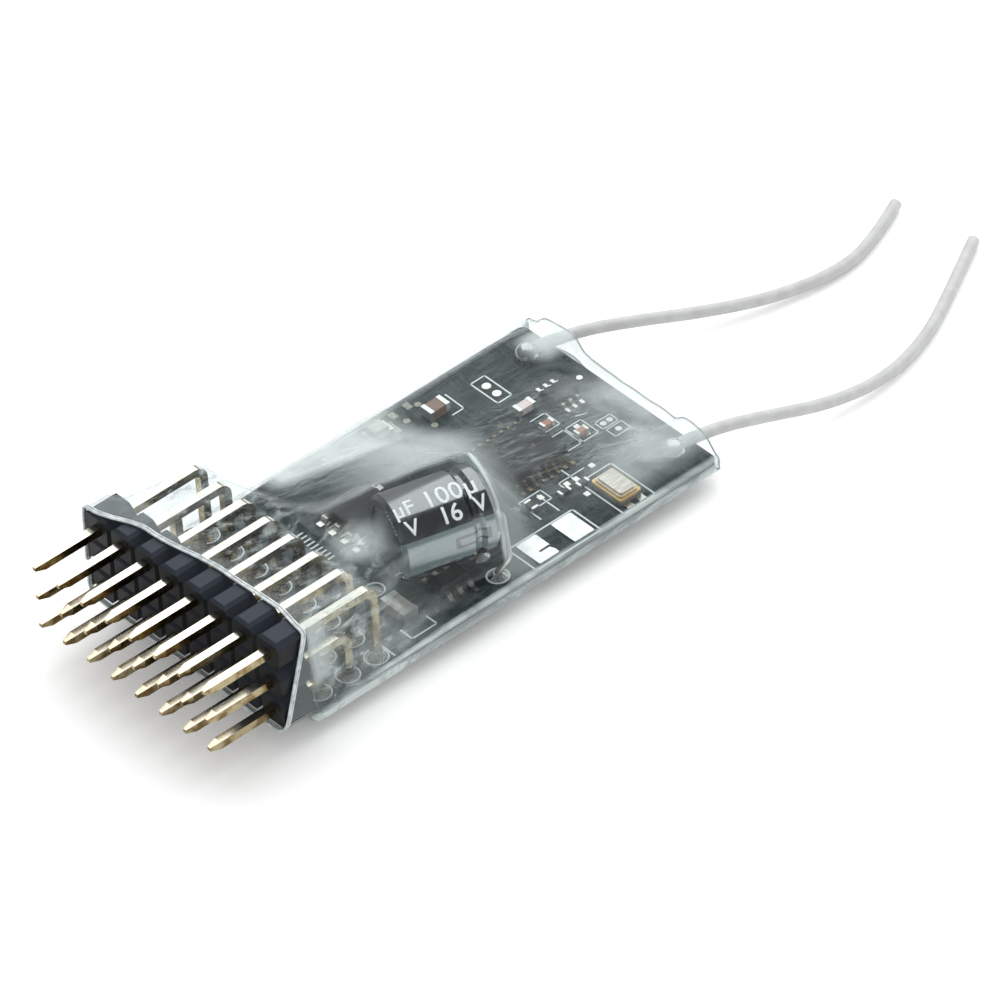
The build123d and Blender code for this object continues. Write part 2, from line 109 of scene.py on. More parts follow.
def add_camera():
    bpy.ops.object.camera_add()
    camera = bpy.context.object
    camera.name = "photo_camera"
    camera.data.lens = camera_lens
    camera.data.sensor_width = camera_sensor
    camera.data.sensor_fit = "HORIZONTAL"
    camera.data.clip_start = 0.01
    camera.data.clip_end = 10
    turn = Matrix((camera_right, camera_up, camera_back)).transposed().to_4x4()
    camera.matrix_world = Matrix.Translation(camera_place * MM) @ turn
    bpy.context.scene.camera = camera


add_camera()


# Shader maths written as Python expressions
class Level:
    """A number that varies over a surface."""

    def __init__(self, paint, socket):
        self.paint = paint
        self.socket = socket

    def maths(self, operation, *others):
        return self.paint.maths(operation, self, *others)

    def __add__(self, other):
        return self.maths("ADD", other)

    __radd__ = __add__

    def __sub__(self, other):
        return self.maths("SUBTRACT", other)

    def __rsub__(self, other):
        return self.paint.maths("SUBTRACT", other, self)

    def __mul__(self, other):
        return self.maths("MULTIPLY", other)

    __rmul__ = __mul__

    def __pow__(self, other):
        return self.maths("POWER", other)

    def __abs__(self):
        return self.maths("ABSOLUTE")

    def most(self, other):
        return self.maths("MAXIMUM", other)

    def least(self, other):
        return self.maths("MINIMUM", other)

    def rise(self, start, end, top=1.0):
        """0 below start, top above end, smooth between."""
        settings = {"interpolation_type": "SMOOTHSTEP"}
        values = {"Value": self, "From Min": start, "From Max": end, "To Min": 0.0, "To Max": top}
        return Level(self.paint, self.paint.node("ShaderNodeMapRange", settings, values, "Result"))

    def band(self, middle, half, soft):
        """1 within half of the middle, 0 beyond the soft edge."""
        return 1 - abs(self - middle).rise(half, half + soft)

    def between(self, start, full, fading, end):
        """0 outside start and end, and 1 from full to fading."""
        return self.rise(start, full) * (1 - self.rise(fading, end))


class NodeTree:
    """A tree of shader nodes, in which one method makes each new node."""

    def __init__(self, tree):
        self.tree = tree

    def node(self, kind, settings, values, output=0):
        made = self.tree.nodes.new(kind)
        for name, value in settings.items():
            setattr(made, name, value)
        for name, value in values.items():
            self.feed(made.inputs[name], value)
        return made.outputs[output]

    def feed(self, socket, value):
        if isinstance(value, Level):
            value = value.socket
        if isinstance(value, bpy.types.NodeSocket):
            self.tree.links.new(value, socket)
        else:
            socket.default_value = value

    def maths(self, operation, *values):
        return Level(self, self.node("ShaderNodeMath", {"operation": operation}, dict(enumerate(values))))

    def split(self, vector):
        """A vector's three parts as levels."""
        first = self.node("ShaderNodeSeparateXYZ", {}, {0: vector})
        return [Level(self, output) for output in first.node.outputs]


class Paint(NodeTree):
    """One material, with its Principled shader and its other nodes."""

    def __init__(self, name):
        self.material = bpy.data.materials.new(name)
        self.material.use_nodes = True
        super().__init__(self.material.node_tree)
        self.shader = self.tree.nodes["Principled BSDF"]
        self.output = self.tree.nodes["Material Output"]

    def place(self):
        """Object coordinates as a vector in millimetres, and as three levels."""
        raw = self.node("ShaderNodeTexCoord", {}, {}, "Object")
        vector = self.node("ShaderNodeVectorMath", {"operation": "SCALE"}, {0: raw, "Scale": 1 / MM})
        return vector, self.split(vector)

    def turned(self, vector, centre, angle):
        """The vector seen from a centre and turned about Z, and its three parts."""
        moved = self.node("ShaderNodeVectorMath", {"operation": "SUBTRACT"}, {0: vector, 1: tuple(centre)})
        values = {"Vector": moved, "Angle": angle}
        vector = self.node("ShaderNodeVectorRotate", {"rotation_type": "Z_AXIS"}, values)
        return vector, self.split(vector)

    def upward(self, start, end):
        """1 on faces that look up, 0 on upright ones."""
        normal = self.node("ShaderNodeNewGeometry", {}, {}, "Normal")
        return self.split(normal)[2].rise(start, end)

    def grain(self, vector, scale, detail=2.0, stretch=(1, 1, 1), rough=0.5, warp=0.0):
        """Noise from 0 to 1, about so many lumps in a millimetre."""
        drawn = self.node("ShaderNodeVectorMath", {"operation": "MULTIPLY"}, {0: vector, 1: stretch})
        values = {"Vector": drawn, "Scale": scale, "Detail": detail, "Roughness": rough}
        values["Distortion"] = warp
        return Level(self, self.node("ShaderNodeTexNoise", {}, values, "Fac"))

    def blend(self, share, first, second):
        """Colours mixed by a share."""
        settings = {"data_type": "RGBA", "clamp_factor": True}
        values = {0: share, 6: self.colour(first), 7: self.colour(second)}
        return self.node("ShaderNodeMix", settings, values, 2)

    @staticmethod
    def colour(value):
        if isinstance(value, tuple) and len(value) == 3:
            return (*value, 1.0)
        return value

    def bump(self, height, strength, distance):
        values = {"Height": height, "Strength": strength, "Distance": distance * MM}
        self.feed(self.shader.inputs["Normal"], self.node("ShaderNodeBump", {}, values, "Normal"))

    def mixed(self, share, first, second):
        """Two shaders mixed by a share."""
        return self.node("ShaderNodeMixShader", {}, {0: share, 1: first, 2: second})

    def shown(self, shader):
        self.feed(self.output.inputs["Surface"], shader)

    def set(self, **values):
        names = {
            "colour": "Base Color",
            "metal": "Metallic",
            "rough": "Roughness",
            "coat": "Coat Weight",
            "coat_rough": "Coat Roughness",
            "ior": "IOR",
            "specular": "Specular IOR Level",
            "coat_ior": "Coat IOR",
        }
        for name, value in values.items():
            self.feed(self.shader.inputs[names[name]], self.colour(value))


def dress(piece, *materials):
    piece.data.materials.clear()
    for material in materials:
        piece.data.materials.append(material)


def dress_node(node, material):
    dress(frame["nodes"][node], material)


# Finishes
def gold_finish():
    paint = Paint("gold_plate")
    vector, (x, y, z) = paint.place()
    mottle = paint.grain(vector, 0.9, 3)
    drawn = paint.grain(vector, 1.6, 2, (2.5, 0.5, 2.5))
    tip = (front_y + 2.2 - y).rise(0, 2.2)
    pale = paint.blend(mottle.rise(0.3, 0.7), (1.0, 0.97, 0.88), (0.98, 0.92, 0.76))
    pale = paint.blend(tip * 0.5, pale, (0.95, 0.78, 0.45))
    # the upright sides are painted dark amber below the pale tops: painted shade on the pins' sides
    upward = paint.upward(0.1, 0.6)
    edge = paint.blend(mottle.rise(0.4, 0.6), (0.5, 0.42, 0.25), (0.22, 0.15, 0.06))
    paint.set(colour=paint.blend(upward, edge, pale), metal=1.0)
    paint.set(rough=0.1 + 0.12 * drawn)
    paint.bump(drawn, 0.1, 0.02)
    return paint.material


def header_finish():
    paint = Paint("header_nylon")
    vector, _ = paint.place()
    grain = paint.grain(vector, 14, 3)
    flow = paint.grain(vector, 0.7, 2)
    black = paint.blend(flow.rise(0.35, 0.65), (0.006, 0.007, 0.009), (0.012, 0.013, 0.016))
    # faces that look up are painted a lighter blue-grey than the black sides: a painted sheen on the tops
    paint.set(colour=paint.blend(paint.upward(0.3, 0.9), black, (0.035, 0.045, 0.06)))
    paint.set(rough=0.34 + 0.18 * grain, specular=0.2)
    paint.bump(grain, 0.25, 0.015)
    return paint.material


def board_finish():
    paint = Paint("board_laminate")
    vector, (x, y, z) = paint.place()
    mottle = paint.grain(vector, 0.35, 3)
    weave = paint.grain(vector, 6, 2, (1, 0.15, 1)) * 0.5 + paint.grain(vector, 6, 2, (0.15, 1, 1)) * 0.5
    tracks = paint.grain(vector, 0.5, 1, (0.4, 2.2, 1), 0.3).band(0.5, 0.03, 0.015)
    tracks = tracks.most(paint.grain(vector, 0.5, 1, (2.4, 0.35, 1), 0.3).band(0.52, 0.03, 0.015))
    mask = paint.blend(mottle.rise(0.3, 0.7), (0.015, 0.026, 0.029), (0.027, 0.041, 0.045))
    mask = paint.blend(tracks * 0.55, mask, (0.065, 0.082, 0.088))
    face = (z - (board_top - 0.03)).rise(0, 0.02).most((board_low.z + 0.03 - z).rise(0, 0.02))
    core = paint.blend(weave, (0.1, 0.11, 0.1), (0.2, 0.21, 0.19))
    paint.set(colour=paint.blend(face, core, mask))
    paint.set(rough=0.62 - 0.25 * face + 0.1 * weave, specular=0.25)
    paint.bump(tracks * 0.8 + weave * 0.2, 0.3, 0.03)
    return paint.material


def solder_finish():
    paint = Paint("solder")
    vector, _ = paint.place()
    lumps = paint.grain(vector, 1.6, 3)
    frost = paint.grain(vector, 9, 2)
    paint.set(colour=paint.blend(lumps.rise(0.3, 0.7), (0.8, 0.8, 0.78), (0.92, 0.92, 0.9)), metal=1.0)
    paint.set(rough=0.16 + 0.2 * frost)
    paint.bump(lumps * 0.7 + frost * 0.3, 0.35, 0.06)
    return paint.material


def metal_finish(name, first, second, rough=0.25):
    paint = Paint(name)
    vector, _ = paint.place()
    brush = paint.grain(vector, 7, 2, (1, 0.2, 1))
    paint.set(colour=paint.blend(brush.rise(0.3, 0.7), first, second), metal=1.0)
    paint.set(rough=rough + 0.15 * brush)
    paint.bump(brush, 0.2, 0.02)
    return paint.material


def moulded_finish(name, first, second, rough=0.45):
    paint = Paint(name)
    vector, _ = paint.place()
    grit = paint.grain(vector, 16, 3)
    cloud = paint.grain(vector, 0.8, 2)
    paint.set(colour=paint.blend(cloud.rise(0.35, 0.65), first, second))
    paint.set(rough=rough + 0.2 * grit)
    paint.bump(grit, 0.3, 0.015)
    return paint.material


def chip_part_finish(node, first, second, metal_share=0.2):
    """Ceramic with a band of tinned metal round each end of its longer side."""
    paint = Paint(node + "_finish")
    vector, (x, y, z) = paint.place()
    size = high(node) - low(node)
    centre = (high(node) + low(node)) / 2
    along, middle, half = (y, centre.y, size.y / 2) if size.y > size.x else (x, centre.x, size.x / 2)
    bare = half * (1 - 2 * metal_share)
    ends = abs(along - middle).rise(bare - 0.02, bare + 0.02)
    grit = paint.grain(vector, 11, 3)
    body = paint.blend(grit.rise(0.3, 0.7), first, second)
    paint.set(colour=paint.blend(ends, body, (0.86, 0.86, 0.83)), metal=ends * 0.9)
    paint.set(rough=0.42 - 0.16 * ends + 0.12 * grit)
    paint.bump(grit, 0.3, 0.02)
    return paint.material


def crystal_base_finish():
    paint = Paint("crystal_tray")
    vector, (x, y, z) = paint.place()
    grit = paint.grain(vector, 9, 3)
    rim = (z - (high("crystal_base").z - 0.16)).rise(0, 0.04)
    tray = paint.blend(grit, (0.16, 0.13, 0.1), (0.24, 0.2, 0.16))
    paint.set(colour=paint.blend(rim, tray, (0.95, 0.66, 0.26)), metal=rim * 0.9)
    paint.set(rough=0.3 + 0.2 * grit)
    paint.bump(grit, 0.2, 0.02)
    return paint.material


def crystal_lid_finish():
    paint = Paint("crystal_lid_metal")
    vector, _ = paint.place()
    brush = paint.grain(vector, 5, 2, (1, 0.15, 1))
    grit = paint.grain(vector, 12, 2)
    top = paint.blend(brush.rise(0.35, 0.65), (0.72, 0.66, 0.58), (0.95, 0.9, 0.82))
    paint.set(colour=paint.blend(paint.upward(0.75, 0.95), (0.95, 0.66, 0.26), top), metal=0.85)
    paint.set(rough=0.42 + 0.16 * grit)
    paint.bump(brush * 0.7 + grit * 0.3, 0.3, 0.02)
    return paint.material


def jacket_finish():
    """Black jacket with a pale stripe down one side and a long outlined minus sign on it."""
    paint = Paint("capacitor_print")
    vector, _ = paint.place()
    vector, (across, along, up) = paint.turned(vector, can_centre, can_lean)
    angle = paint.maths("ARCTAN2", across, up) * (180 / math.pi)
    grain = paint.grain(vector, 8, 3)
    stripe = angle.band(stripe_angle, stripe_half_angle, 1.5)
    minus = angle.band(minus_angle, 8, 1.0) * along.band(minus_along, 1.25, 0.15)
    hollow = angle.band(minus_angle, 4.2, 1.0) * along.band(minus_along, 0.96, 0.1)
    pale = paint.blend(minus - hollow, (0.2, 0.25, 0.26), (0.02, 0.025, 0.03))
    black = paint.blend(grain.rise(0.35, 0.65), (0.008, 0.009, 0.011), (0.014, 0.015, 0.018))
    paint.set(colour=paint.blend(stripe, black, pale))
    # the lamp's streak starts lower than the top edge, and lower still at the near end
    shaded = 1 - (angle + 3 * along).rise(-13, -3)
    paint.set(rough=0.1 + 0.08 * grain + 0.5 * shaded, ior=print_ior)
    paint.set(coat=(1 - 0.95 * shaded) * (1 - 0.75 * stripe), coat_rough=0.04, coat_ior=varnish_ior)
    paint.bump(grain, 0.05, 0.02)
    return paint.material


def wire_finish():
    paint = Paint("antenna_insulation")
    vector, _ = paint.place()
    dust = paint.grain(vector, 1.1, 3)
    grain = paint.grain(vector, 12, 2)
    paint.set(colour=paint.blend(dust.rise(0.3, 0.75), (0.53, 0.54, 0.53), (0.6, 0.615, 0.605)))
    paint.set(rough=0.36 + 0.16 * grain)
    paint.bump(grain, 0.15, 0.02)
    return paint.material


def print_finish(name, first, second):
    paint = Paint(name)
    vector, _ = paint.place()
    grain = paint.grain(vector, 8, 3)
    paint.set(colour=paint.blend(grain.rise(0.3, 0.7), first, second))
    paint.set(rough=0.45 + 0.2 * grain)
    paint.bump(grain, 0.2, 0.01)
    return paint.material


# A place on the film, in millimetres. Distance runs from the pin tips along the board. Aside
# and along start at the capacitor's far end, and run across its axis and away from the header.
# Cloud and streaks are noise from 0 to 1.
Spot = namedtuple("Spot", "x z distance aside along cloud streaks")


def milk_over_capacitor(spot):
    """The tent over the capacitor: its taut flank, its fall, the flank's foot and a painted highlight along
    a tight fold.
    """
    aside, along = spot.aside, spot.along
    flank = 1 - aside.rise(-4.2, -1.6)
    fall = along.rise(-0.3, 0.1) * (1 - aside.rise(0.6, 2.4, 0.45) - aside.rise(3.4, 4.4, 0.55))
    # the milk ends past the far end, sooner far out to the left and right of the crest
    past = along + (-9.5 - aside).rise(0, 4.5, 4) + aside.rise(-2, 0, 1.2)
    beyond = 1 - past.rise(0.2, 1.6, 0.2) - past.rise(2.0, 5.0, 0.8)
    # the flank gets milkier towards the far end
    level = along.rise(-8.6, -0.5, 0.56) + 0.1 * spot.cloud
    milk = flank.most(fall) * level * beyond
    # the foot of the flank lies on the board, and is nearly white
    foot = (-11.0 - aside).rise(0, 1.4) * along.rise(-11.5, -9.5) * beyond
    milk = milk.most(foot * (0.71 + 0.14 * spot.cloud))
    # a painted highlight along the tight fold round the capacitor's far end
    line = along.band(0.0, 0.04, 0.18) * aside.between(-11, -9, 3.9, 4.3)
    return milk + 0.34 * line * spot.z.rise(board_top + 1.4, board_top + 3.2)


def milk_behind_pins(milk, spot):
    """Where the film leaves the capacitor's near end, and beside the right-hand pins."""
    across, back = spot.aside - 2.3, spot.along + 10.3
    patch = (across * across + back * back * 0.6) ** 0.5
    patch = (1 - patch.rise(0.3, 2.4)) * (1 - spot.aside.rise(2.8, 3.6))
    milk = milk + patch * (0.25 + 0.6 * spot.streaks)
    # beside the right-hand pins the film hangs in loose, bright folds
    corner = spot.x.rise(5.0, 9.0) * spot.distance.between(8, 9.5, 17.5, 22)
    milk = milk + corner * (0.09 + 0.28 * spot.streaks.rise(0.42, 0.68))
    behind_header = spot.x.rise(8.8, 9.4) * spot.distance.between(7.8, 9.0, 9.3, 11.5)
    return milk.most(0.6 * behind_header * spot.z.rise(3.5, 5.0))


def milk_at_far_end(milk, spot):
    """A painted reflection that pales the film towards the far end, a swelling over the left antenna's
    joint, and the free end.
    """
    # the painted reflection starts sooner on the right
    nearer = spot.x.rise(3, 7, 3)
    far = spot.distance.rise(37 - nearer, 44.5 - nearer) * spot.x.between(-3.5, 1, 8.6, 10.2)
    milk = milk + far * (0.25 + 0.28 * spot.cloud)
    swelling = spot.x.band(-6.6, 0.9, 1.0) * spot.distance.rise(41.4, 43.4)
    milk = milk.most(0.62 * swelling)
    # beyond the board the film stands alone and looks paler than the floor
    board_end = board_high.y - front_y
    return milk.most(0.5 * spot.distance.rise(board_end, board_end + 0.2))


def milk_near_header(paint, vector, milk, spot):
    """Broken glints between the pins, and a thin haze over the header."""
    glints = paint.grain(vector, 1.1, 3, (1.3, 0.6, 1), 0.6, 0.8)
    milk = milk + 0.4 * glints.rise(0.52, 0.7) * spot.distance.between(8.5, 10, 16, 18.5)
    return milk + 0.12 * (1 - spot.distance.rise(8, 9.5))


def milk_along_edges(milk, spot):
    """Folds along the left edge, and the milky edges and side walls of the sleeve."""
    x, z, distance = spot.x, spot.z, spot.distance
    folds = x.band(-9.75, 0.06, 0.1) + x.band(-9.2, 0.04, 0.1) + 0.7 * x.band(-8.6, 0.03, 0.08)
    milk = milk + 0.34 * folds * distance.rise(25, 28) * z.rise(board_top, board_top + 0.2)
    edge = abs(x).rise(9.8, 10.05) * z.band(board_top + 0.2, 0.08, 0.14)
    milk = milk + edge * (0.35 + 0.4 * spot.cloud) * distance.rise(12, 15)
    side = abs(x).rise(9.9, 10.2) * (1 - z.rise(board_top - 0.3, board_top))
    return milk + side * (0.33 + 0.35 * spot.streaks.rise(0.4, 0.6))


def milky_creases(paint, turned, spot):
    """Fine creases that run the way the capacitor lies, beyond it and beside it."""
    wrinkles = paint.grain(turned, 1.0, 2, (1.6, 0.2, 1), 0.5, 0.4)
    creases = wrinkles.band(0.46, 0.008, 0.02).most(wrinkles.band(0.56, 0.008, 0.02))
    beyond_can = spot.x.between(-5, -2.5, 5.5, 8) * spot.distance.between(32.5, 34, 40, 44)
    beside_can = spot.x.rise(-9, -7) * (1 - spot.aside.rise(-4, -2))
    beside_can = beside_can * spot.distance.rise(17, 20) * (1 - spot.along.rise(-6, -2))
    return 0.16 * creases * beyond_can.most(beside_can)


def film_veil(paint, vector, x, y, z):
    """How milky the film is, from 0 clear to 1 white, over its whole wall."""
    cloud = paint.grain(vector, 0.22, 3, (1, 1, 1), 0.55, 0.6).rise(0.35, 0.65)
    streaks = paint.grain(vector, 0.5, 4, (1.8, 0.35, 1), 0.6, 1.0)
    turned, (aside, along, up) = paint.turned(vector, can_far_end, can_lean)
    spot = Spot(x, z, y - front_y, aside, along, cloud, streaks)
    milk = milk_over_capacitor(spot) + 0.055 * streaks.rise(0.48, 0.75)
    milk = milk_behind_pins(milk, spot)
    milk = milk_at_far_end(milk, spot)
    milk = milk_near_header(paint, vector, milk, spot)
    milk = milk_along_edges(milk, spot) + milky_creases(paint, turned, spot)
    return milk.least(0.9).most(0.0)


def film_finish():
    """Clear film: a clear wall, milky in places, with reflections that grow as it turns away."""
    paint = Paint("clear_film")
    vector, (x, y, z) = paint.place()
    waves = paint.grain(vector, 0.5, 3, (1.6, 0.5, 1), 0.6, 0.8)
    fine = paint.grain(vector, 2.2, 3, (1, 1, 1), 0.6, 0.6)
    facing = Level(paint, paint.node("ShaderNodeLayerWeight", {}, {"Blend": 0.5}, "Facing"))
    # the wall has two faces, and each carries half of the veil
    veil = 1 - (1 - film_veil(paint, vector, x, y, z)) ** 0.5
    paint.set(colour=(0.78, 0.86, 0.85), rough=0.5, specular=0.1)
    values = {"Height": waves * 0.7 + fine * 0.3, "Strength": 0.5, "Distance": 0.15 * MM}
    bend = paint.node("ShaderNodeBump", {}, values)
    clear = paint.node("ShaderNodeBsdfTransparent", {}, {"Color": (0.955, 0.972, 0.975, 1)})
    values = {"Base Color": (0.93, 0.96, 0.97, 1), "Metallic": 1.0, "Roughness": 0.1, "Normal": bend}
    gloss = paint.node("ShaderNodeBsdfPrincipled", {}, values)
    body = paint.mixed(veil, clear, paint.shader.outputs[0])
    # slack and dull between the left-hand pins and the flank
    dull = (1 - x.rise(-1.5, 2)) * (y - front_y).between(15, 17, 21, 25)
    reflected = 0.013 + 0.5 * facing ** 5 * (1 - 0.85 * dull)
    paint.shown(paint.mixed(reflected, body, gloss))
    return paint.material


def rim_finish(name, first, second):
    paint = Paint(name)
    vector, _ = paint.place()
    grain = paint.grain(vector, 2, 3)
    paint.set(colour=paint.blend(grain.rise(0.35, 0.65), first, second))
    paint.set(rough=0.28 + 0.2 * grain)
    paint.bump(grain, 0.3, 0.05)
    return paint.material


gold = gold_finish()
solder = solder_finish()
tin = metal_finish("tinned_lead", (0.82, 0.8, 0.74), (0.92, 0.9, 0.84))
gold_lead = metal_finish("gilt_lead", (0.13, 0.105, 0.065), (0.34, 0.27, 0.17), 0.4)
aluminium = metal_finish("can_aluminium", (0.4, 0.42, 0.43), (0.55, 0.56, 0.57), 0.3)
chip_black = moulded_finish("chip_epoxy", (0.016, 0.019, 0.021), (0.028, 0.031, 0.034))
bung_black = moulded_finish("bung_rubber", (0.014, 0.014, 0.014), (0.03, 0.03, 0.03), 0.6)
wire_grey = wire_finish()
white_print = print_finish("white_legend", (0.68, 0.72, 0.72), (0.8, 0.83, 0.82))
jacket_print = print_finish("jacket_figures", (0.84, 0.87, 0.9), (0.94, 0.95, 0.96))
dull_tin = print_finish("dull_pad_tin", (0.24, 0.25, 0.2), (0.46, 0.46, 0.38))
mark_dark = moulded_finish("mark_shadow", (0.02, 0.022, 0.022), (0.03, 0.034, 0.034))
rim_white = rim_finish("film_mouth_rim", (0.5, 0.55, 0.57), (0.78, 0.82, 0.83))
rim_grey = rim_finish("film_far_rim", (0.08, 0.1, 0.1), (0.28, 0.32, 0.33))

for node in frame["nodes"]:
    if node.startswith("pin_"):
        dress_node(node, gold)
dress_node("header_body", header_finish())
dress_node("header_solder", solder)
dress_node("capacitor_solder", solder)
dress_node("antenna_solder_left", solder)
dress_node("antenna_solder_right", solder)
dress_node("jumper_pads", solder)
dress_node("circuit_board", board_finish())
dress_node("capacitor_can", aluminium)
dress_node("capacitor_jacket", jacket_finish())
dress_node("capacitor_bung", bung_black)
dress_node("capacitor_lead_left", tin)
dress_node("capacitor_lead_right", tin)
dress_node("crystal_base", crystal_base_finish())
dress_node("crystal_lid", crystal_lid_finish())
for chip in ("radio_chip", "control_chip", "amplifier_chip", "regulator"):
    dress_node(chip, chip_black)
    dress_node(chip + "_leads", tin)
dress_node("radio_chip_leads", gold_lead)
brown = ((0.2, 0.12, 0.085), (0.3, 0.19, 0.14))
red_brown = ((0.4, 0.16, 0.09), (0.52, 0.24, 0.15))
grey_brown = ((0.3, 0.26, 0.23), (0.4, 0.36, 0.32))
pink = ((0.72, 0.6, 0.57), (0.84, 0.73, 0.7))
black_chip = ((0.02, 0.02, 0.022), (0.035, 0.035, 0.038))
cream = ((0.66, 0.64, 0.5), (0.8, 0.78, 0.64))
for node, colours in {
    "chip_capacitor_left": brown,
    "chip_capacitor_supply": grey_brown,
    "chip_capacitor_small_1": red_brown,
    "chip_capacitor_small_2": red_brown,
    "pink_chip_part": pink,
    "chip_resistor_1": black_chip,
    "chip_resistor_2": black_chip,
    "chip_resistor_3": black_chip,
    "indicator_lamp": cream,
}.items():
    dress_node(node, chip_part_finish(node, *colours))


# Antennas: the same points as the solids, in millimetres
left_route = [
    (-7.35, -1.5, 2.7),
    (-6.7, 1.6, 2.68),
    (-5.0, 5.8, 2.15),
    (-3.2, 10.1, 1.35),
    (-1.35, 15.1, 0.7),
    (-0.3, 20.1, 0.5),
    (-0.75, 24.2, 0.46),
    (-2.9, 28.6, 0.46),
]
right_route = [
    (7.55, -1.2, 2.7),
    (7.95, 1.5, 2.68),
    (9.1, 5.4, 2.1),
    (10.5, 10.1, 1.2),
    (10.75, 15.2, 0.6),
    (9.4, 20.2, 0.46),
    (6.9, 24.8, 0.46),
    (4.0, 29.7, 0.46),
]
wire_diameter = 0.9


def antenna(name, route):
    curve = bpy.data.curves.new(name, "CURVE")
    curve.dimensions = "3D"
    curve.bevel_depth = wire_diameter / 2 * MM
    curve.bevel_resolution = 6
    curve.use_fill_caps = True
    curve.resolution_u = 12
    spline = curve.splines.new("NURBS")
    spline.points.add(len(route) - 1)
    for point, (x, beyond, z) in zip(spline.points, route):
        point.co = (x * MM, (board_high.y + beyond) * MM, z * MM, 1)
    spline.order_u = 3
    spline.use_endpoint_u = True
    piece = bpy.data.objects.new(name, curve)
    bpy.context.collection.objects.link(piece)
    dress(piece, wire_grey)
    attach(piece, "root")
    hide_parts(name.replace("_wire", ""))
    x, beyond, z = route[0]
    exit_point = (x * MM, (board_high.y + beyond) * MM, z * MM)


antenna("antenna_left_wire", left_route)
antenna("antenna_right_wire", right_route)


# Board print, pads and vias as thin raised shapes. A spot on the board is given as X and the
# distance from the pin tips.
legend_line = 0.13
broad_line = 0.14
fine_line = 0.12
thin_line = 0.1
pad_rows = (9.70, 12.24, 14.78)
pad_radius = 0.75
lead_pads = ((8.54, 26.06), (6.1, 26.5))
tick_pitch = 0.42
edge_via_pitch = 1.45


def clear_selection():
    bpy.ops.object.select_all(action="DESELECT")


def start_piece(name):
    clear_selection()
    mesh = bpy.data.meshes.new(name)
    piece = bpy.data.objects.new(name, mesh)
    bpy.context.collection.objects.link(piece)
    bpy.context.view_layer.objects.active = piece
    piece.select_set(True)
    return piece


class FlatWork:
    """Flat shapes on the board, drawn in edit mode and raised a little at the end."""

    def __init__(self, name, material, slot, rise, base=None):
        self.piece = start_piece(name)
        self.base = board_top if base is None else base
        self.material = material
        self.slot = slot
        self.rise = rise
        bpy.ops.object.mode_set(mode="EDIT")

    def spot(self, x, distance):
        return Vector((x, front_y + distance, self.base)) * MM

    def bar(self, x, distance, width, depth, turn=0.0):
        """A rectangle, turned about its middle by so many degrees."""
        bpy.ops.mesh.primitive_plane_add(size=1, location=(0, 0, 0))
        bpy.ops.transform.resize(value=(width * MM, depth * MM, 1), center_override=(0, 0, 0))
        if turn:
            angle = math.radians(-turn)
            bpy.ops.transform.rotate(value=angle, orient_axis="Z", center_override=(0, 0, 0))
        bpy.ops.transform.translate(value=self.spot(x, distance))

    def line(self, start, end, width=legend_line):
        (x1, y1), (x2, y2) = start, end
        length = math.hypot(x2 - x1, y2 - y1)
        turn = math.degrees(math.atan2(y2 - y1, x2 - x1))
        self.bar((x1 + x2) / 2, (y1 + y2) / 2, length + width, width, turn)

    def frame(self, x1, y1, x2, y2, width=legend_line):
        self.line((x1, y1), (x2, y1), width)
        self.line((x1, y2), (x2, y2), width)
        self.line((x1, y1), (x1, y2), width)
        self.line((x2, y1), (x2, y2), width)

    def disc(self, x, distance, radius, sides=14):
        bpy.ops.mesh.primitive_circle_add(
            vertices=sides, radius=radius * MM, fill_type="NGON", location=self.spot(x, distance)
        )

    def ring(self, x, distance, inner, outer, sides=18):
        step = 2 * math.pi / sides
        middle = (inner + outer) / 2
        overlap = 1.12
        for index in range(sides):
            turn = index * step
            spot = (x + middle * math.cos(turn), distance + middle * math.sin(turn))
            self.bar(*spot, outer - inner, middle * step * overlap, math.degrees(turn))

    def done(self):
        bpy.ops.mesh.select_all(action="SELECT")
        bpy.ops.mesh.extrude_region_move(TRANSFORM_OT_translate={"value": (0, 0, self.rise * MM)})
        bpy.ops.mesh.select_all(action="SELECT")
        bpy.ops.mesh.normals_make_consistent(inside=False)
        bpy.ops.object.mode_set(mode="OBJECT")
        dress(self.piece, self.material)
        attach(self.piece, "root")


